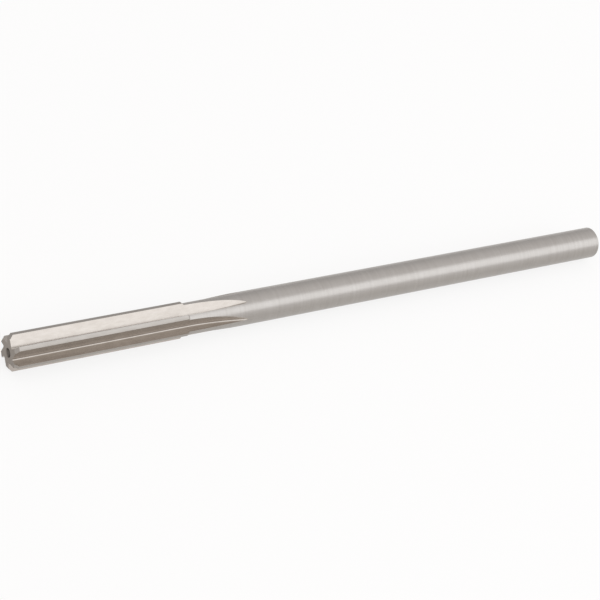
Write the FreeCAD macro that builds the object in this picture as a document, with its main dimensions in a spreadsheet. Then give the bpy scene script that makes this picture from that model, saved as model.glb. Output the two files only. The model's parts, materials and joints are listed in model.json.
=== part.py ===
"""Straight-shank machine reamer, 5/16 inch, six straight flutes, right-hand cut.

The tool is turned, fluted and ground from one bar of high-speed steel, so it is one
body. The features follow the order in which it is made:

  1. turn the blank, with its lead chamfer, shoulder bevel and end chamfer
  2. mill the flutes: a straight run with a radial cutting face, then a run-out where
     the round cutter lifts out of the bar
  3. grind the lands: a narrow round margin stays, and the rest falls away to the heel
  4. back off the lead chamfer of every tooth
  5. drill a 60 degree centre into each end

The body is modelled from its cutting end, at X = 0, with its axis along +X and one
cutting edge straight up (+Z). It is then placed with the middle of its shank end face
at the origin, the cutting end towards -X, and rolled so that it lies on the cutting
edge of one tooth and the heel of the next. Millimetres and degrees.
"""
import FreeCAD, Part
import math
import os
import Sketcher
from FreeCAD import Placement, Rotation, Vector

NODE = "reamer"

# The driving dimensions.
SIZES = {
    "overall_length": 152.4,
    "cutting_length": 39.0,
    "cutting_diameter": 7.9375,
    "shank_diameter": 7.0917,
    "lead_chamfer": 0.72,
    "end_chamfer": 0.4,
    "flute_count": 6,
    "land_width": 0.84,
    "flute_angle": 76.0,
    "root_radius": 0.3,
    "cutter_radius": 71.0,
    "cutter_tilt": 10.0,
    "margin_width": 0.18,
    "land_relief": 9.0,
    "chamfer_relief": 8.0,
    "centre_mouth": 2.0,
    "centre_pilot": 0.8,
    "centre_pilot_length": 0.8,
    "centre_angle": 60.0,
    "drill_point_angle": 118.0,
}

# Expressions that several features share. The sheet's cells have no units.
CUT_R = "(Sizes.cutting_diameter / 2)"
SHANK_R = "(Sizes.shank_diameter / 2)"
SHOULDER = f"({CUT_R} - {SHANK_R})"
PITCH = "(360 / Sizes.flute_count)"
LAND_ANGLE = f"(Sizes.land_width / {CUT_R} * 180 / pi)"
MARGIN_ANGLE = f"(Sizes.margin_width / {CUT_R} * 180 / pi)"
# How far a cutting profile stands out past the solid that it cuts.
CLEAR = "1"

doc = FreeCAD.newDocument("machine_reamer")


def make_sheet():
    """Write the driving dimensions into a spreadsheet, one alias for each size."""
    sheet = doc.addObject("Spreadsheet::Sheet", "Sizes")
    for row, (name, size) in enumerate(SIZES.items(), start=1):
        sheet.set(f"A{row}", name)
        sheet.set(f"B{row}", str(size))
        sheet.setAlias(f"B{row}", name)
    doc.recompute()


def value(expression):
    """Work out one expression of the sheet as a plain number."""
    return float(doc.getObject("Sizes").evalExpression(expression))


def origin_feature(body, role):
    """Find one of the body's own origin planes or axes."""
    return next(item for item in body.Origin.OriginFeatures if item.Role == role)


def new_sketch(body, name, plane, offset=None, turn=None):
    """Start a sketch on an origin plane, moved and turned about its own X if asked.

    offset holds expressions for the shift along the plane's own x, y and normal.
    """
    sketch = body.newObject("Sketcher::SketchObject", name)
    sketch.AttachmentSupport = [(origin_feature(body, plane), "")]
    sketch.MapMode = "FlatFace"
    sketch.AttachmentOffset = Placement(Vector(), Rotation(Vector(1, 0, 0), 1 if turn else 0))
    for axis, expression in (offset or {}).items():
        sketch.setExpression(f"AttachmentOffset.Base.{axis}", expression)
    if turn:
        sketch.setExpression("AttachmentOffset.Rotation.Angle", turn)
    return sketch


def bind_point(sketch, edge, end, x, y):
    """Hold one end of an edge at a place given by two expressions."""
    for kind, axis, expression in (("DistanceX", -2, x), ("DistanceY", -1, y)):
        if expression == "0":
            sketch.addConstraint(Sketcher.Constraint("PointOnObject", edge, end, axis))
            continue
        row = sketch.addConstraint(
            Sketcher.Constraint(kind, -1, 1, edge, end, value(expression)))
        sketch.setExpression(f"Constraints[{row}]", expression)


def add_corners(sketch, corners, closed=True):
    """Draw straight edges through corners, each an (x, y) pair of expressions."""
    points = [Vector(value(x), value(y), 0) for x, y in corners]
    first = sketch.GeometryCount
    ends = points[1:] + points[:1] if closed else points[1:]
    for start, end in zip(points, ends):
        sketch.addGeometry(Part.LineSegment(start, end), False)
    last = sketch.GeometryCount - 1
    for edge in range(first, last):
        sketch.addConstraint(Sketcher.Constraint("Coincident", edge, 2, edge + 1, 1))
    if closed:
        sketch.addConstraint(Sketcher.Constraint("Coincident", last, 2, first, 1))
    for edge, (x, y) in zip(range(first, last + 1), corners):
        bind_point(sketch, edge, 1, x, y)
    if not closed:
        bind_point(sketch, last, 2, *corners[-1])
    return first, last


def finish_cut(body, feature, before):
    """Recompute a cut and make sure that it took metal away from the body."""
    doc.recompute()
    after = feature.Shape.Volume
    if not 0 < after < before - 1e-6:
        raise RuntimeError(f"{feature.Label} cuts nothing")
    print(f"{feature.Label}: {before:.3f} -> {after:.3f} mm3")
    return feature


def turn_blank(body):
    """Turn the bar: lead chamfer, cutting diameter, shoulder bevel, shank."""
    sketch = new_sketch(body, "BlankProfile", "XZ_Plane")
    add_corners(sketch, [
        ("0", "0"),
        ("0", f"{CUT_R} - Sizes.lead_chamfer"),
        ("Sizes.lead_chamfer", CUT_R),
        ("Sizes.cutting_length", CUT_R),
        (f"Sizes.cutting_length + {SHOULDER}", SHANK_R),
        ("Sizes.overall_length - Sizes.end_chamfer", SHANK_R),
        ("Sizes.overall_length", f"{SHANK_R} - Sizes.end_chamfer"),
        ("Sizes.overall_length", "0"),
    ])
    blank = body.newObject("PartDesign::Revolution", "Blank")
    blank.Profile = sketch
    blank.ReferenceAxis = (sketch, ["H_Axis"])
    blank.Angle = 360
    doc.recompute()
    return blank


def flute_corners():
    """Work out the flute's section, which its cutter leaves, as expressions.

    x is measured across the cutting face, into the flute, and y outwards along it. The
    back of the flute runs from the heel of the tooth ahead down to the cutting face,
    where the cutter's corner rounds the root.
    """
    heel = f"({PITCH} - {LAND_ANGLE})"
    heel_x = f"({CUT_R} * sin({heel}))"
    heel_y = f"({CUT_R} * cos({heel}))"
    root_y = f"({heel_y} - {heel_x} / tan(Sizes.flute_angle))"
    reach = "(Sizes.root_radius / tan(Sizes.flute_angle / 2))"
    far_x = f"({heel_x} + {CLEAR})"
    return {
        "centre": ("Sizes.root_radius", f"{root_y} + {reach}"),
        "path": [
            (f"{reach} * sin(Sizes.flute_angle)", f"{root_y} + {reach} * cos(Sizes.flute_angle)"),
            (far_x, f"{root_y} + {far_x} / tan(Sizes.flute_angle)"),
            (far_x, f"{CUT_R} + {CLEAR}"),
            ("0", f"{CUT_R} + {CLEAR}"),
            ("0", f"{root_y} + {reach}"),
        ],
    }


def draw_flute(sketch):
    """Draw the closed section of one flute, with its root arc, and return the arc."""
    section = flute_corners()
    first, last = add_corners(sketch, section["path"], closed=False)
    centre = Vector(*(value(expression) for expression in section["centre"]), 0)
    sweep = math.pi - math.radians(value("Sizes.flute_angle"))
    circle = Part.Circle(centre, Vector(0, 0, 1), value("Sizes.root_radius"))
    arc = sketch.addGeometry(Part.ArcOfCircle(circle, math.pi, math.pi + sweep), False)
    sketch.addConstraint(Sketcher.Constraint("Coincident", arc, 1, last, 2))
    sketch.addConstraint(Sketcher.Constraint("Coincident", arc, 2, first, 1))
    row = sketch.addConstraint(Sketcher.Constraint("Radius", arc, circle.Radius))
    sketch.setExpression(f"Constraints[{row}]", "Sizes.root_radius")
    return arc


def mill_flute(body, before):
    """Mill the straight run of one flute, as long as the cutting part."""
    sketch = new_sketch(body, "FluteSection", "YZ_Plane")
    draw_flute(sketch)
    flute = body.newObject("PartDesign::Pocket", "Flute")
    flute.Profile = sketch
    flute.Type = "Length"
    flute.setExpression("Length", "Sizes.cutting_length")
    flute.Reversed = True
    return finish_cut(body, flute, before)


def lift_cutter(body, before):
    """Mill the run-out: the section swings about the cutter's spindle.

    The spindle lies across the flute, over the end of the straight run, and is set over
    by the cutter's side angle, so the cutting face closes in a little as the cutter lifts.
    """
    sketch = new_sketch(body, "RunOutSection", "YZ_Plane", offset={"z": "Sizes.cutting_length"})
    draw_flute(sketch)
    centre_x, centre_y = flute_corners()["centre"]
    lift = "(Sizes.cutter_radius - Sizes.root_radius)"
    spindle_x = f"({centre_x} + {lift} * sin(Sizes.cutter_tilt))"
    spindle_y = f"({centre_y} + {lift} * cos(Sizes.cutter_tilt))"
    span = "Sizes.cutter_radius"
    ends = [
        (f"{spindle_x} + {span} * cos(Sizes.cutter_tilt)",
         f"{spindle_y} - {span} * sin(Sizes.cutter_tilt)"),
        (spindle_x, spindle_y),
    ]
    spindle, _ = add_corners(sketch, ends, closed=False)
    sketch.setConstruction(spindle, True)
    run_out = body.newObject("PartDesign::Groove", "RunOut")
    run_out.Profile = sketch
    run_out.ReferenceAxis = (sketch, ["Axis0"])
    run_out.setExpression("Angle", f"acos(1 - {CUT_R} / Sizes.cutter_radius)")
    return finish_cut(body, run_out, before)


def grind_relief(body, before, name, start, angle, corners):
    """Grind one tooth behind its edge, about an axis set off from the tool's own.

    The ground surface meets the round blank at the angle called start, counted back from
    the cutting edge, and falls away from it by the relief angle. corners is the profile of
    the metal taken off, with y measured from the offset axis.
    """
    tip = f"({start} + {angle})"
    sketch = new_sketch(
        body, f"{name}Profile", "XZ_Plane", turn=tip,
        offset={"y": f"{CUT_R} * (cos({start}) - cos({tip}))",
                "z": f"{CUT_R} * (sin({start}) - sin({tip}))"})
    add_corners(sketch, corners)
    relief = body.newObject("PartDesign::Groove", name)
    relief.Profile = sketch
    relief.ReferenceAxis = (sketch, ["H_Axis"])
    relief.setExpression("Angle", f"{PITCH} / 2")
    return finish_cut(body, relief, before)


def grind_land(body, before):
    """Relieve the land behind its round margin, and run out through the shoulder bevel."""
    far = f"(Sizes.cutting_length + {SHOULDER} / 2)"
    return grind_relief(body, before, "LandRelief", MARGIN_ANGLE, "Sizes.land_relief", [
        (f"-{CLEAR}", CUT_R),
        (far, CUT_R),
        (far, f"{CUT_R} + {CLEAR}"),
        (f"-{CLEAR}", f"{CUT_R} + {CLEAR}"),
    ])


def grind_chamfer(body, before):
    """Back off the lead chamfer, right from the cutting edge."""
    return grind_relief(body, before, "ChamferRelief", "0", "Sizes.chamfer_relief", [
        (f"-{CLEAR}", f"{CUT_R} - Sizes.lead_chamfer - {CLEAR}"),
        (f"Sizes.lead_chamfer + {CLEAR}", f"{CUT_R} + {CLEAR}"),
        (f"-{CLEAR}", f"{CUT_R} + {CLEAR}"),
    ])


def repeat_teeth(body, features):
    """Index the tool round for its other teeth."""
    pattern = body.newObject("PartDesign::PolarPattern", "Teeth")
    pattern.Originals = features
    pattern.Axis = (origin_feature(body, "X_Axis"), [""])
    pattern.Angle = 360
    pattern.setExpression("Occurrences", "Sizes.flute_count")
    body.Tip = pattern
    return finish_cut(body, pattern, features[-1].Shape.Volume)


def drill_centre(body, before, name, face, inwards):
    """Drill a centre into one end: a pilot hole under a 60 degree countersink."""
    mouth = "(Sizes.centre_mouth / 2)"
    pilot = "(Sizes.centre_pilot / 2)"
    cone = f"(({mouth} - {pilot}) / tan(Sizes.centre_angle / 2))"
    bottom = f"({cone} + Sizes.centre_pilot_length)"
    point = f"({bottom} + {pilot} / tan(Sizes.drill_point_angle / 2))"
    sketch = new_sketch(body, f"{name}Profile", "XZ_Plane")
    add_corners(sketch, [
        (face, "0"),
        (face, mouth),
        (f"{face} {inwards} {cone}", pilot),
        (f"{face} {inwards} {bottom}", pilot),
        (f"{face} {inwards} {point}", "0"),
    ])
    centre = body.newObject("PartDesign::Groove", name)
    centre.Profile = sketch
    centre.ReferenceAxis = (sketch, ["H_Axis"])
    centre.Angle = 360
    return finish_cut(body, centre, before)


def rest_roll():
    """Find the roll at which the tool lies on one cutting edge and the next heel.

    The heel is where the ground land meets the back of the flute. Both are worked out in
    the section, with a cutting edge straight up and its own heel behind it.
    """
    radius = value(CUT_R)
    margin = math.radians(value(MARGIN_ANGLE))
    tip = margin + math.radians(value("Sizes.land_relief"))
    axis_x = radius * (math.sin(tip) - math.sin(margin))
    axis_y = radius * (math.cos(margin) - math.cos(tip))
    pitch = math.radians(value(PITCH))
    section = flute_corners()["path"]
    low, high = (Vector(value(x), value(y), 0) for x, y in section[:2])
    # The back of the flute behind this tooth, brought back by one pitch.
    turn = Rotation(Vector(0, 0, 1), math.degrees(pitch))
    low, high = turn.multVec(low), turn.multVec(high)
    along = (high - low).normalize()
    to_axis = Vector(axis_x, axis_y, 0) - low
    foot = low + along * to_axis.dot(along)
    off = (foot - Vector(axis_x, axis_y, 0)).Length
    heel = foot + along * math.sqrt(radius ** 2 - off ** 2)
    # Turn the heel on by one pitch, and take the normal of the chord from edge to heel.
    heel = turn.inverted().multVec(heel)
    return math.degrees(math.atan2(radius - heel.y, heel.x))


def build_reamer():
    """Make the whole tool as one body and put it in its resting place."""
    body = doc.addObject("PartDesign::Body", "Reamer")
    body.Label = NODE
    before = turn_blank(body).Shape.Volume
    cuts = []
    for cut in (mill_flute, lift_cutter, grind_land, grind_chamfer):
        cuts.append(cut(body, before))
        before = cuts[-1].Shape.Volume
    before = repeat_teeth(body, cuts).Shape.Volume
    front = drill_centre(body, before, "CuttingEndCentre", "0", "+")
    drill_centre(body, front.Shape.Volume, "ShankEndCentre", "Sizes.overall_length", "-")
    body.Placement = Placement(Vector(), Rotation(Vector(1, 0, 0), rest_roll()))
    body.setExpression("Placement.Base.x", "-Sizes.overall_length")
    doc.recompute()
    return body


def check_document(pieces):
    """Stop on any failed object, and on any piece that isn't one valid solid."""
    for item in doc.Objects:
        if "Invalid" in item.State or "Error" in item.State:
            raise RuntimeError(f"{item.Label} failed: {item.State}")
    for piece in pieces:
        shape = piece.Shape
        if shape.isNull() or not shape.isValid() or len(shape.Solids) != 1:
            raise RuntimeError(f"{piece.Label} isn't one valid solid")


def write_pieces(pieces):
    """Write each piece to parts/LABEL.step."""
    os.makedirs("parts", exist_ok=True)
    for piece in pieces:
        piece.Shape.exportStep(f"parts/{piece.Label}.step")
        box = piece.Shape.BoundBox
        print(f"{piece.Label}: {piece.Shape.Volume:.2f} mm3, X {box.XMin:.3f} to {box.XMax:.3f}, "
              f"Y {box.YMin:.3f} to {box.YMax:.3f}, Z {box.ZMin:.3f} to {box.ZMax:.3f}")


make_sheet()
reamer = build_reamer()
check_document([reamer])
write_pieces([reamer])
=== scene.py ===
# %% [markdown]
# # A machine reamer, finished in Blender
#
# A reamer opens a drilled hole to its exact size. This one is a single bar of bare
# high-speed steel: a plain round shank, and a cutting end with six straight flutes. The
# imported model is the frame. It fixes the size and the place of everything below, and the
# steel that shows is modelled again here, finely enough for light to run along its edges.

import json
import math

import bpy
from mathutils import Matrix, Vector

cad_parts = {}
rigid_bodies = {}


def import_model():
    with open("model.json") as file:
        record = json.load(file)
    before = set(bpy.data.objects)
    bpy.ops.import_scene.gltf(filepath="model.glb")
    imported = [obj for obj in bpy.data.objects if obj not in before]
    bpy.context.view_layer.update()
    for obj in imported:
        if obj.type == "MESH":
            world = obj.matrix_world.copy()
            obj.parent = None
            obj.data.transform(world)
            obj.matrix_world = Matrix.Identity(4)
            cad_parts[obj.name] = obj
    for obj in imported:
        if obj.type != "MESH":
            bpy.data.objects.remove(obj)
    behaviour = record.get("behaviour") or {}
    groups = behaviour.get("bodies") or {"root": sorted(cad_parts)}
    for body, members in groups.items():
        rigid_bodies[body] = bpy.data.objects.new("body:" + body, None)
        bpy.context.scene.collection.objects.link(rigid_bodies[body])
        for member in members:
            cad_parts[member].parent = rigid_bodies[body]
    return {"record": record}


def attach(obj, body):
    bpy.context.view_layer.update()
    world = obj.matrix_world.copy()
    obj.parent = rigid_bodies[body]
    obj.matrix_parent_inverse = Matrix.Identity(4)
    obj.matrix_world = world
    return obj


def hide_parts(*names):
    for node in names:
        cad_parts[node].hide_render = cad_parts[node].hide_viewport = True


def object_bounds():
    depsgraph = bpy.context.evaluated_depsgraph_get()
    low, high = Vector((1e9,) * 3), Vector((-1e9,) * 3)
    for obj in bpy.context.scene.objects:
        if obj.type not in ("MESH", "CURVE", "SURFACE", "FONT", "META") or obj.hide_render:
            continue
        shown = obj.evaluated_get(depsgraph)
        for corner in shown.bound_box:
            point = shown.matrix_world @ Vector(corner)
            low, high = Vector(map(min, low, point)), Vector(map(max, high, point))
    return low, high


for left_over in list(bpy.data.objects):
    bpy.data.objects.remove(left_over)
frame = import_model()
cad_box = [list(corner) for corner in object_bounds()]
print("frame box, mm:", [[round(1000 * v, 2) for v in corner] for corner in cad_box])

# %% [markdown]
# ## Sizes
#
# The shop drawing's sizes are in millimetres, and so is the modelling: Blender's Boolean
# solver rounds very small distances away, and at one unit to the millimetre nothing on
# the tool is that small. The finished piece is scaled to metres at the end. While it is
# made, the tool lies along X with the cutting end face at X = 0 and one cutting edge
# straight up.

# %% Sizes of the tool
MM = 1000    # millimetres in a metre

LENGTH = MM * (cad_box[1][0] - cad_box[0][0])
CUTTING_LENGTH = 39.0
CUT_R = 7.9375 / 2
SHANK_R = frame["record"]["mounts"][0]["dims"]["r_mm"]
LEAD_CHAMFER = 0.72
END_CHAMFER = 0.4
TEETH = 6
PITCH = math.radians(360 / TEETH)

LAND_WIDTH = 0.84
MARGIN_WIDTH = 0.18
LAND_ANGLE = LAND_WIDTH / CUT_R
MARGIN_ANGLE = MARGIN_WIDTH / CUT_R
LAND_RELIEF = math.radians(9)
CHAMFER_RELIEF = math.radians(8)

FLUTE_ANGLE = math.radians(76)
ROOT_R = 0.3
CUTTER_R = 71.0
CUTTER_TILT = math.radians(10)

CENTRE_MOUTH_R = 1.0
CENTRE_PILOT_R = 0.4
CENTRE_PILOT_LENGTH = 0.8
CENTRE_HALF_ANGLE = math.radians(30)
DRILL_HALF_ANGLE = math.radians(59)
CENTRES_WITHIN = 5    # both centres are shallower than this

ROUND_STEPS = 240     # facets round the bar
SWING_STEPS = 40      # facets along a run-out
GRIND_STEPS = 20      # facets across a ground land
ROOT_STEPS = 10       # facets round a flute's root
CLEAR = 1             # how far each cutting tool reaches past the bar
print(f"tool {LENGTH:.1f} mm long, shank radius {SHANK_R:.3f} mm")

# %% [markdown]
# ## Helpers for modelling
#
# Every operator works on what is selected, and the loaded frame comes in selected. So
# each step first clears the selection, and then picks its own faces or points by place.

# %% Helpers
def start_fresh():
    """Leave edit mode and select nothing."""
    if bpy.context.object and bpy.context.object.mode != "OBJECT":
        bpy.ops.object.mode_set(mode="OBJECT")
    bpy.ops.object.select_all(action="DESELECT")


def make_active(piece):
    """Select one object and make it the active one."""
    start_fresh()
    piece.select_set(True)
    bpy.context.view_layer.objects.active = piece


def pick_faces(piece, wanted):
    """In edit mode, select the faces for which wanted(face) is true."""
    bpy.ops.object.mode_set(mode="OBJECT")
    for part in (piece.data.vertices, piece.data.edges):
        part.foreach_set("select", [False] * len(part))
    for face in piece.data.polygons:
        face.select = wanted(face)
    bpy.ops.object.mode_set(mode="EDIT")


def grow(step, scale, centre):
    """Extrude the selected face along X by step, and scale its new rim about the axis."""
    bpy.ops.mesh.extrude_region_move(TRANSFORM_OT_translate={"value": (step, 0, 0)})
    if scale != 1:
        bpy.ops.transform.resize(
            value=(1, scale, scale), center_override=(centre, 0, 0),
            orient_type="GLOBAL")


def face_ahead(sign):
    """Say whether a face looks along X, towards the sign given."""
    return lambda face: face.normal.x * sign > 0.999


print("helpers ready")

# %% [markdown]
# ## The turned blank
#
# On a lathe the bar is faced, turned down and chamfered. The same thing in edit mode: a
# cylinder is the shank, and the face at each end is extruded and scaled, one step for
# each turned surface. The last steps go back into the bar, and make the 60 degree
# centres on which the tool is held while it is ground.

# %% Turn the blank
def drill_centre(sign, face_x, face_r):
    """Sink a countersink, a pilot hole and a drill point into the selected end face."""
    cone = (CENTRE_MOUTH_R - CENTRE_PILOT_R) / math.tan(CENTRE_HALF_ANGLE)
    point = CENTRE_PILOT_R / math.tan(DRILL_HALF_ANGLE)
    almost_nothing = 0.02
    grow(0, CENTRE_MOUTH_R / face_r, face_x)
    grow(-sign * cone, CENTRE_PILOT_R / CENTRE_MOUTH_R, face_x)
    grow(-sign * CENTRE_PILOT_LENGTH, 1, face_x)
    grow(-sign * point, almost_nothing, face_x)


def turn_blank():
    """Turn the whole bar from one cylinder."""
    start_fresh()
    shoulder = CUT_R - SHANK_R
    foot = CUTTING_LENGTH + shoulder
    shank_end = LENGTH - END_CHAMFER
    bpy.ops.mesh.primitive_cylinder_add(
        vertices=ROUND_STEPS, radius=SHANK_R, depth=shank_end - foot,
        location=((foot + shank_end) / 2, 0, 0), rotation=(0, math.pi / 2, 0))
    blank = bpy.context.object
    blank.name = "reamer_steel"
    bpy.ops.object.transform_apply(location=True, rotation=True, scale=True)
    pick_faces(blank, face_ahead(-1))
    grow(-shoulder, CUT_R / SHANK_R, foot)
    grow(LEAD_CHAMFER - CUTTING_LENGTH, 1, foot)
    grow(-LEAD_CHAMFER, (CUT_R - LEAD_CHAMFER) / CUT_R, 0)
    drill_centre(-1, 0, CUT_R - LEAD_CHAMFER)
    pick_faces(blank, face_ahead(1))
    grow(END_CHAMFER, (SHANK_R - END_CHAMFER) / SHANK_R, LENGTH)
    drill_centre(1, LENGTH, SHANK_R - END_CHAMFER)
    bpy.ops.object.mode_set(mode="OBJECT")
    return blank


blank = turn_blank()
print("blank:", len(blank.data.polygons), "faces")

# %% [markdown]
# ## The flute cutter
#
# A round cutter mills the flutes. It follows the bar, then lifts out of it, so each
# flute is a straight prism that ends in a long shallow run-out. Its solid is made just so:
# the section is extruded along the bar, and its end face is then spun about the
# cutter's spindle. The spindle is set over by ten degrees, which is why the cutting edge
# moves in a little along the run-out. The cutting face is radial, and the root is round.

# %% Section of the flute
def flute_section():
    """Return the flute's corners in (Y, Z): the root corner first, then round it."""
    heel = PITCH - LAND_ANGLE
    heel_y = CUT_R * math.sin(heel)
    heel_z = CUT_R * math.cos(heel)
    slope = 1 / math.tan(FLUTE_ANGLE)
    root_z = heel_z - heel_y * slope
    far_y = heel_y + CLEAR
    top_z = CUT_R + CLEAR
    return [(0, root_z), (far_y, root_z + far_y * slope), (far_y, top_z), (0, top_z)]


def draw_section(name, places):
    """Add a plane, move its four points to the places given, and start to edit it."""
    start_fresh()
    bpy.ops.mesh.primitive_plane_add(size=1)
    piece = bpy.context.object
    piece.name = name
    for index, place in zip(piece.data.polygons[0].vertices, places):
        piece.data.vertices[index].co = place
    bpy.ops.object.mode_set(mode="EDIT")
    return piece


def pick_points(piece, wanted):
    """In edit mode, select the points for which wanted(place) is true."""
    bpy.ops.mesh.select_mode(type="VERT")
    bpy.ops.mesh.select_all(action="DESELECT")
    bpy.ops.object.mode_set(mode="OBJECT")
    for point in piece.data.vertices:
        point.select = wanted(point.co)
    bpy.ops.object.mode_set(mode="EDIT")


def mend_normals():
    """Merge doubled points and turn every face outwards."""
    bpy.ops.mesh.select_all(action="SELECT")
    bpy.ops.mesh.remove_doubles(threshold=1e-4)
    bpy.ops.mesh.normals_make_consistent(inside=False)
    bpy.ops.object.mode_set(mode="OBJECT")


def make_flute_cutter():
    """Model what the cutter sweeps: a straight run, then a swing about the spindle."""
    corners = flute_section()
    root_z = corners[0][1]
    cutter = draw_section("flute_cutter", [(-CLEAR, y, z) for y, z in corners])
    pick_points(cutter, lambda place: place.y < 0.01 and place.z < root_z + 0.01)
    reach = ROOT_R / math.tan(FLUTE_ANGLE / 2)
    bpy.ops.mesh.bevel(offset=reach, segments=ROOT_STEPS, affect="VERTICES", profile=0.5)
    bpy.ops.mesh.select_all(action="SELECT")
    bpy.ops.mesh.extrude_region_move(
        TRANSFORM_OT_translate={"value": (CUTTING_LENGTH + CLEAR, 0, 0)})
    lift = CUTTER_R - ROOT_R
    spindle = (CUTTING_LENGTH, ROOT_R + lift * math.sin(CUTTER_TILT),
               root_z + reach + lift * math.cos(CUTTER_TILT))
    bpy.ops.mesh.spin(
        steps=SWING_STEPS, angle=math.acos(1 - CUT_R / CUTTER_R), center=spindle,
        axis=(0, math.cos(CUTTER_TILT), -math.sin(CUTTER_TILT)))
    mend_normals()
    return cutter


flute_cutter = make_flute_cutter()
reach_x = max(point.co.x for point in flute_cutter.data.vertices)
print(f"flute cutter: {len(flute_cutter.data.polygons)} faces, out to X {reach_x:.1f} mm")

# %% [markdown]
# ## The grinding of the lands
#
# Behind its cutting edge each land keeps a narrow round margin, and then falls away, so
# that only the edge touches the hole. Such a surface is ground about an axis set off from
# the tool's own. What the wheel removes is a thin sector: a plane beside the margin, spun
# back past the heel about that offset axis. The lead chamfer is backed off in the same
# way, with a profile at 45 degrees.

# %% Grinding tools
PAST_THE_HEEL = PITCH / 3


def make_grinder(name, start, relief, profile):
    """Spin a profile of (X, height) points about the offset axis, back from start."""
    tip = start + relief
    offset = Vector((0, CUT_R * (math.sin(tip) - math.sin(start)),
                     CUT_R * (math.cos(start) - math.cos(tip))))
    out = Vector((0, -math.sin(tip), math.cos(tip)))
    piece = draw_section(
        name, [offset + out * height + Vector((x, 0, 0)) for x, height in profile])
    bpy.ops.mesh.select_all(action="SELECT")
    bpy.ops.mesh.spin(
        steps=GRIND_STEPS, angle=-PAST_THE_HEEL, center=offset, axis=(1, 0, 0))
    mend_normals()
    return piece


shoulder_run = CUTTING_LENGTH + (CUT_R - SHANK_R) / 2
land_grinder = make_grinder("land_grinder", MARGIN_ANGLE, LAND_RELIEF, [
    (-CLEAR, CUT_R), (shoulder_run, CUT_R),
    (shoulder_run, CUT_R + CLEAR), (-CLEAR, CUT_R + CLEAR)])
chamfer_grinder = make_grinder("chamfer_grinder", 0, CHAMFER_RELIEF, [
    (-CLEAR, CUT_R - LEAD_CHAMFER - CLEAR), (LEAD_CHAMFER + CLEAR, CUT_R + CLEAR),
    (0, CUT_R + 1.5 * CLEAR), (-CLEAR, CUT_R + CLEAR)])
for grinder in (land_grinder, chamfer_grinder):
    behind = [math.degrees(math.atan2(-p.co.y, p.co.z)) for p in grinder.data.vertices]
    print(f"{grinder.name}: {min(behind):.1f} to {max(behind):.1f} degrees behind the edge")

# %% [markdown]
# ## Cutting the teeth
#
# The bar is indexed round and each tool cuts it six times, with a Boolean modifier that
# is applied at once. Every tool carries its own material, and the Boolean passes that
# on to the faces it cuts: the flutes come out with their own finish, and the ground lands
# with theirs.

# %% Cut the teeth
STEEL_NAMES = ["ground_round", "milled_flute", "ground_land", "faced_end"]
steels = {name: bpy.data.materials.new(name) for name in STEEL_NAMES}


def cut_all_round(bar, tool, steel):
    """Cut the bar with six copies of a tool, one for each tooth."""
    tool.data.materials.append(steel)
    for tooth in range(TEETH):
        turned = tool.copy()
        turned.data = tool.data.copy()
        turned.data.transform(Matrix.Rotation(tooth * PITCH, 4, "X"))
        bpy.context.collection.objects.link(turned)
        make_active(bar)
        cut = bar.modifiers.new("cut", "BOOLEAN")
        cut.operation = "DIFFERENCE"
        cut.solver = "EXACT"
        cut.material_mode = "TRANSFER"
        cut.object = turned
        bpy.ops.object.modifier_apply(modifier=cut.name)
        bpy.data.objects.remove(turned)
    bpy.data.objects.remove(tool)


blank.data.materials.append(steels["ground_round"])
cut_all_round(blank, flute_cutter, steels["milled_flute"])
print("fluted:", len(blank.data.polygons), "faces")
cut_all_round(blank, land_grinder, steels["ground_land"])
cut_all_round(blank, chamfer_grinder, steels["ground_land"])
print("ground:", len(blank.data.polygons), "faces", [m.name for m in blank.data.materials])

# %% [markdown]
# ## Laying the tool down
#
# A six-fluted tool can't balance on one tooth. It rolls until its axis is as low as it
# will go, on one cutting edge and the heel of the next tooth. So the roll is found by
# trying each angle over one pitch, and keeping the one with the lowest axis. Then the
# tool is moved so that its shank end is at the origin, and scaled to metres.

# %% Lay it down and finish the mesh
ROLL_TRIES = 1200
SMOOTH_UNDER = math.radians(22)    # edges sharper than this stay crisp


def rest_roll(bar):
    """Find the turn about X at which the axis lies lowest over a flat floor."""
    ring = [p.co for p in bar.data.vertices if 0 < p.co.x < CUTTING_LENGTH + 0.01]
    points = {(round(place.y, 4), round(place.z, 4)) for place in ring}
    heights = {}
    for step in range(ROLL_TRIES):
        turn = PITCH * step / ROLL_TRIES
        heights[turn] = max(-y * math.sin(turn) - z * math.cos(turn) for y, z in points)
    return min(heights, key=heights.get)


def lay_down(bar, roll):
    """Roll, move and scale the finished tool, and make it smooth between its edges."""
    turn = Matrix.Rotation(roll, 4, "X")
    shift = Matrix.Translation((-LENGTH, 0, 0))
    bar.data.transform(Matrix.Scale(1 / MM, 4) @ turn @ shift)
    make_active(bar)
    bpy.ops.object.shade_smooth_by_angle(angle=SMOOTH_UNDER)


def paint_ends(bar, steel):
    """Give the end faces and the centre holes the finish of a faced end."""
    bar.data.materials.append(steel)
    slot = len(bar.data.materials) - 1
    for face in bar.data.polygons:
        centre = face.center
        near_end = not CENTRES_WITHIN < centre.x < LENGTH - CENTRES_WITHIN
        in_centre = math.hypot(centre.y, centre.z) < 1.2 * CENTRE_MOUTH_R
        if near_end and (in_centre or abs(face.normal.x) > 0.99):
            face.material_index = slot


paint_ends(blank, steels["faced_end"])
roll = rest_roll(blank)
lay_down(blank, roll)
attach(blank, "root")
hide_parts("reamer")
print(f"rolled {math.degrees(roll):.2f} degrees, {len(blank.data.polygons)} faces,",
      [m.name for m in blank.data.materials])

# %% [markdown]
# ## The finish of bare steel
#
# Nothing is painted on this tool: its look is the marks that its making left. Rings run
# round the shank, where it was ground while it turned. Lines run along the flutes, and the
# end was faced, so its marks are circles. One node group draws such lines in any
# direction: it stretches a noise pattern until it becomes a bundle of fine scratches. A
# second group gives the slow cloudy change that bare steel gets from handling.

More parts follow.
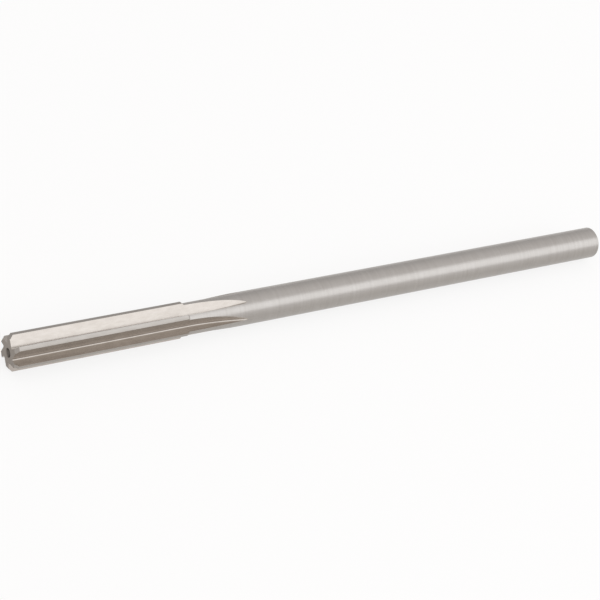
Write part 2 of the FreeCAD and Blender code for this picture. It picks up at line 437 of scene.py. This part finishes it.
# %% Node groups: grinding marks, and clouds
def new_group(name, inputs, outputs):
    """Start a shader node group with the sockets named, and return its two ends too."""
    group = bpy.data.node_groups.new(name, "ShaderNodeTree")
    for label, kind, value in inputs:
        socket = group.interface.new_socket(label, in_out="INPUT", socket_type=kind)
        if value is not None:
            socket.default_value = value
    for label, kind in outputs:
        group.interface.new_socket(label, in_out="OUTPUT", socket_type=kind)
    start = group.nodes.new("NodeGroupInput")
    end = group.nodes.new("NodeGroupOutput")
    return group, start, end


def add_noise(group, vector, detail, roughness):
    """Add a noise texture at one cell to the unit of its vector."""
    noise = group.nodes.new("ShaderNodeTexNoise")
    noise.inputs["Scale"].default_value = 1
    noise.inputs["Detail"].default_value = detail
    noise.inputs["Roughness"].default_value = roughness
    group.links.new(vector, noise.inputs["Vector"])
    return noise.outputs["Fac"]


def make_marks():
    """Lines cut by grit: fine scratches, and broader bands where the wheel stepped on."""
    group, start, end = new_group(
        "grinding_marks",
        [("Place", "NodeSocketVector", None), ("Fine", "NodeSocketVector", None),
         ("Broad", "NodeSocketVector", None)],
        [("Scratches", "NodeSocketFloat"), ("Bands", "NodeSocketFloat")])
    for label, output, detail in (("Fine", "Scratches", 3), ("Broad", "Bands", 1)):
        stretch = group.nodes.new("ShaderNodeVectorMath")
        stretch.operation = "MULTIPLY"
        group.links.new(start.outputs["Place"], stretch.inputs[0])
        group.links.new(start.outputs[label], stretch.inputs[1])
        fac = add_noise(group, stretch.outputs[0], detail, 0.6)
        group.links.new(fac, end.inputs[output])
    return group


def make_clouds():
    """Slow patches of tone, a few millimetres across."""
    group, start, end = new_group(
        "steel_clouds",
        [("Place", "NodeSocketVector", None), ("Per metre", "NodeSocketFloat", 250.0)],
        [("Clouds", "NodeSocketFloat")])
    scale = group.nodes.new("ShaderNodeVectorMath")
    scale.operation = "SCALE"
    group.links.new(start.outputs["Place"], scale.inputs[0])
    group.links.new(start.outputs["Per metre"], scale.inputs["Scale"])
    group.links.new(add_noise(group, scale.outputs[0], 4, 0.55), end.inputs["Clouds"])
    return group


marks_group = make_marks()
clouds_group = make_clouds()
print("node groups:", marks_group.name, clouds_group.name)

# %% Steel from the two groups
NOISE_RANGE = (0.25, 0.75)    # nearly all of a noise texture's values lie in here
BANDS_SHARE, CLOUDS_SHARE = 0.6, 0.4


def map_range(tree, value, from_range, to_range):
    """Turn a value in one range into the same place in another, and keep it inside."""
    node = tree.nodes.new("ShaderNodeMapRange")
    node.inputs["From Min"].default_value, node.inputs["From Max"].default_value = from_range
    node.inputs["To Min"].default_value, node.inputs["To Max"].default_value = to_range
    tree.links.new(value, node.inputs["Value"])
    return node.outputs["Result"]


def place_group(tree, group, place):
    """Put one of the node groups into a material, fed with the place on the tool."""
    node = tree.nodes.new("ShaderNodeGroup")
    node.node_tree = group
    tree.links.new(place, node.inputs["Place"])
    return node


def finish_steel(steel, dark, light, rough, fine, broad, depth, place_of=None):
    """Build bare steel: tone, gloss and relief from its marks and its clouds."""
    steel.use_nodes = True
    tree = steel.node_tree
    shader = tree.nodes["Principled BSDF"]
    shader.inputs["Metallic"].default_value = 1
    coordinates = tree.nodes.new("ShaderNodeTexCoord").outputs["Object"]
    place = place_of(tree, coordinates) if place_of else coordinates
    marks = place_group(tree, marks_group, place)
    marks.inputs["Fine"].default_value = fine
    marks.inputs["Broad"].default_value = broad
    clouds = place_group(tree, clouds_group, coordinates)

    tone = tree.nodes.new("ShaderNodeMath")
    tone.operation = "MULTIPLY_ADD"
    tree.links.new(map_range(tree, marks.outputs["Bands"], NOISE_RANGE, (0, BANDS_SHARE)),
                   tone.inputs[0])
    tone.inputs[1].default_value = 1
    tree.links.new(map_range(tree, clouds.outputs["Clouds"], NOISE_RANGE, (0, CLOUDS_SHARE)),
                   tone.inputs[2])
    colour = tree.nodes.new("ShaderNodeMix")
    colour.data_type = "RGBA"
    tree.links.new(tone.outputs[0], colour.inputs["Factor"])
    colour.inputs["A"].default_value = (*dark, 1)
    colour.inputs["B"].default_value = (*light, 1)
    tree.links.new(colour.outputs["Result"], shader.inputs["Base Color"])

    tree.links.new(map_range(tree, marks.outputs["Scratches"], NOISE_RANGE, rough),
                   shader.inputs["Roughness"])
    bump = tree.nodes.new("ShaderNodeBump")
    bump.inputs["Strength"].default_value = 0.5
    bump.inputs["Distance"].default_value = depth / MM
    tree.links.new(marks.outputs["Scratches"], bump.inputs["Height"])
    tree.links.new(bump.outputs["Normal"], shader.inputs["Normal"])
    return steel


def circles(tree, coordinates):
    """Measure a place by its distance from the axis, so that marks become circles."""
    split = tree.nodes.new("ShaderNodeSeparateXYZ")
    tree.links.new(coordinates, split.inputs[0])
    flat = tree.nodes.new("ShaderNodeCombineXYZ")
    tree.links.new(split.outputs["Y"], flat.inputs["Y"])
    tree.links.new(split.outputs["Z"], flat.inputs["Z"])
    length = tree.nodes.new("ShaderNodeVectorMath")
    length.operation = "LENGTH"
    tree.links.new(flat.outputs[0], length.inputs[0])
    out = tree.nodes.new("ShaderNodeCombineXYZ")
    tree.links.new(length.outputs["Value"], out.inputs["X"])
    return out.outputs[0]


print("steel builder ready")


# %% Tints, and painted shade inside a centre
def tinted(colour, *times):
    """Scale a steel tone, by one factor for each of its three parts."""
    return tuple(part * by for part, by in zip(colour, times))


def paint_centre_shade(steel, radius, times):
    """Paint shade on the steel inside a radius, where the drilled centre holds little light.
    """
    tree = steel.node_tree
    base = tree.nodes["Principled BSDF"].inputs["Base Color"]
    coordinates = tree.nodes.new("ShaderNodeTexCoord").outputs["Object"]
    split = tree.nodes.new("ShaderNodeSeparateXYZ")
    tree.links.new(circles(tree, coordinates), split.inputs[0])
    edge = map_range(tree, split.outputs["X"], (0.85 * radius, radius), (times, 1))
    shade = tree.nodes.new("ShaderNodeVectorMath")
    shade.operation = "SCALE"
    tree.links.new(base.links[0].from_socket, shade.inputs[0])
    tree.links.new(edge, shade.inputs["Scale"])
    tree.links.new(shade.outputs[0], base)


print("tints ready")

# %% The four finishes
ACROSS, ALONG = 9 * MM, 0.12 * MM    # scratches to a metre, across them and along them
DARK, LIGHT = (0.350, 0.324, 0.298), (0.412, 0.387, 0.361)
FLUTE_TINT = (1.09, 1.055, 1.02)     # a milled flute is a little lighter and warmer
LAND_TINT = (0.88, 0.865, 0.845)     # and a ground land is a little darker
CENTRE_PAINTED_SHADE = 0.45                   # painted shade in a drilled centre, as a share of the end's tone
finish_steel(
    steels["ground_round"], DARK, LIGHT, rough=(0.26, 0.40),
    fine=(ACROSS, ALONG, ALONG), broad=(1.6 * MM, 0.05 * MM, 0.05 * MM), depth=0.006)
finish_steel(
    steels["milled_flute"], tinted(DARK, *FLUTE_TINT), tinted(LIGHT, *FLUTE_TINT),
    rough=(0.18, 0.28),
    fine=(0.1 * MM, ACROSS, ACROSS), broad=(0.5 * MM, 1.4 * MM, 1.4 * MM), depth=0.004)
finish_steel(
    steels["ground_land"], tinted(DARK, *LAND_TINT), tinted(LIGHT, *LAND_TINT),
    rough=(0.28, 0.38),
    fine=(0.1 * MM, ACROSS, ACROSS), broad=(0.3 * MM, MM, MM), depth=0.004)
finish_steel(
    steels["faced_end"], (0.225, 0.197, 0.172), (0.300, 0.264, 0.232), rough=(0.34, 0.48),
    fine=(ACROSS, 0, 0), broad=(2 * MM, 0, 0), depth=0.006, place_of=circles)
# Painted shade: the faced end is darkened inside the centre's mouth, where the drilled hole
# holds little light.
paint_centre_shade(steels["faced_end"], CENTRE_MOUTH_R / MM, CENTRE_PAINTED_SHADE)
print("finishes:", ", ".join(steels))

# %% [markdown]
# ## Floor, light and camera
#
# The tool lies on a plain pale sheet in a light tent. Bare steel shows its surroundings,
# so these are what give it its tone: the tent is a little darker behind the tool, and one
# long soft box hangs in front of it and to the right. Its reflection is the bright
# line along the shank. Most of the sheet's white is a plain glow, seen only by the camera
# and in the steel's reflections, so the tool's shadow on it stays pale.

# %% Floor
PAPER = (0.86, 0.83, 0.80, 1)
WHITE = (0.98, 0.98, 0.98, 1)
WHITENESS = 0.82    # share of the sheet's look that is plain white


def lay_floor(height):
    """Lay a wide pale sheet under the tool."""
    start_fresh()
    bpy.ops.mesh.primitive_plane_add(size=8, location=(0, 0, height))
    sheet = bpy.context.object
    sheet.name = "floor"
    paper = bpy.data.materials.new("pale_sheet")
    paper.use_nodes = True
    tree = paper.node_tree
    shader = tree.nodes["Principled BSDF"]
    shader.inputs["Base Color"].default_value = PAPER
    shader.inputs["Roughness"].default_value = 0.9
    shader.inputs["Specular IOR Level"].default_value = 0.1

    glow = tree.nodes.new("ShaderNodeEmission")
    glow.inputs["Color"].default_value = WHITE
    path = tree.nodes.new("ShaderNodeLightPath")
    seen = path.outputs["Is Camera Ray"]
    for ray in ("Is Glossy Ray", "Is Transmission Ray"):
        either = tree.nodes.new("ShaderNodeMath")
        either.operation = "MAXIMUM"
        tree.links.new(seen, either.inputs[0])
        tree.links.new(path.outputs[ray], either.inputs[1])
        seen = either.outputs[0]
    share = tree.nodes.new("ShaderNodeMath")
    share.operation = "MULTIPLY"
    tree.links.new(seen, share.inputs[0])
    share.inputs[1].default_value = WHITENESS
    mix = tree.nodes.new("ShaderNodeMixShader")
    tree.links.new(share.outputs[0], mix.inputs["Fac"])
    tree.links.new(shader.outputs["BSDF"], mix.inputs[1])
    tree.links.new(glow.outputs["Emission"], mix.inputs[2])
    tree.links.new(mix.outputs["Shader"], tree.nodes["Material Output"].inputs["Surface"])
    sheet.data.materials.append(paper)
    return sheet


floor = lay_floor(cad_box[0][2])
print("floor at Z", round(1000 * floor.location.z, 3), "mm")

# %% Light tent and soft box
TENT_DARK, TENT_LIGHT = 0.68, 1.11
TENT_LEAN = (0, -0.527, 0.669)       # the tent is lightest in this direction
TENT_FADE = 0.6                      # how far along it, each way, the tone changes
TENT_COLOUR = (0.99, 0.985, 1, 1)
BOX_TOWARDS = Vector((0.5475, -0.538, 0.641)).normalized()
BOX_COLOUR = (0.87, 0.935, 1.0)
BOX_RADIANCE = 0.96
BOX_ALONG, BOX_ACROSS, BOX_DISTANCE = 0.9, 0.34, 0.5


def light_tent():
    """Light the world as a tent, bright overhead and in front and darker behind."""
    world = bpy.data.worlds.new("tent")
    bpy.context.scene.world = world
    world.use_nodes = True
    tree = world.node_tree
    direction = tree.nodes.new("ShaderNodeTexCoord").outputs["Generated"]
    lean = tree.nodes.new("ShaderNodeVectorMath")
    lean.operation = "DOT_PRODUCT"
    tree.links.new(direction, lean.inputs[0])
    lean.inputs[1].default_value = TENT_LEAN
    tone = tree.nodes.new("ShaderNodeMapRange")
    tone.interpolation_type = "SMOOTHSTEP"
    tone.inputs["From Min"].default_value = -TENT_FADE
    tone.inputs["From Max"].default_value = TENT_FADE
    tone.inputs["To Min"].default_value = TENT_DARK
    tone.inputs["To Max"].default_value = TENT_LIGHT
    tree.links.new(lean.outputs["Value"], tone.inputs["Value"])
    tree.links.new(tone.outputs["Result"], tree.nodes["Background"].inputs["Strength"])
    tree.nodes["Background"].inputs["Color"].default_value = TENT_COLOUR
    return world


def hang_soft_box():
    """Hang a long soft box where the shank's front mirrors it towards the camera."""
    middle = Vector(((cad_box[0][0] + cad_box[1][0]) / 2, 0, 0))
    bpy.ops.object.light_add(type="AREA", location=middle + BOX_DISTANCE * BOX_TOWARDS)
    box = bpy.context.object
    box.name = "soft_box"
    box.data.shape = "RECTANGLE"
    box.data.size = BOX_ALONG
    box.data.size_y = BOX_ACROSS
    box.data.energy = BOX_RADIANCE * math.pi * BOX_ALONG * BOX_ACROSS
    box.data.color = BOX_COLOUR
    along = (Vector((1, 0, 0)) - BOX_TOWARDS * BOX_TOWARDS.x).normalized()
    turn = Matrix((along, BOX_TOWARDS.cross(along), BOX_TOWARDS)).transposed()
    box.rotation_euler = turn.to_euler()
    return box


light_tent()
soft_box = hang_soft_box()
print(f"soft box {soft_box.data.energy:.2f} W")

# %% Camera
CAMERA_PLACE = Vector((-0.31170, -0.20404, 0.28280))
CAMERA_AIM = Vector((0.5475, 0.4885, -0.6794))
CAMERA_ROLL = math.radians(26.45)
LENS_MM = 117.14

bpy.ops.object.camera_add(location=CAMERA_PLACE)
camera = bpy.context.object
turn = CAMERA_AIM.to_track_quat("-Z", "Y").to_matrix().to_4x4()
camera.rotation_euler = (turn @ Matrix.Rotation(CAMERA_ROLL, 4, "Z")).to_euler()
camera.data.lens = LENS_MM
camera.data.clip_start = 0.01
bpy.context.scene.camera = camera
bpy.context.scene.view_settings.view_transform = "Standard"
print("camera", LENS_MM, "mm lens")

# %% Finish
bpy.context.view_layer.update()
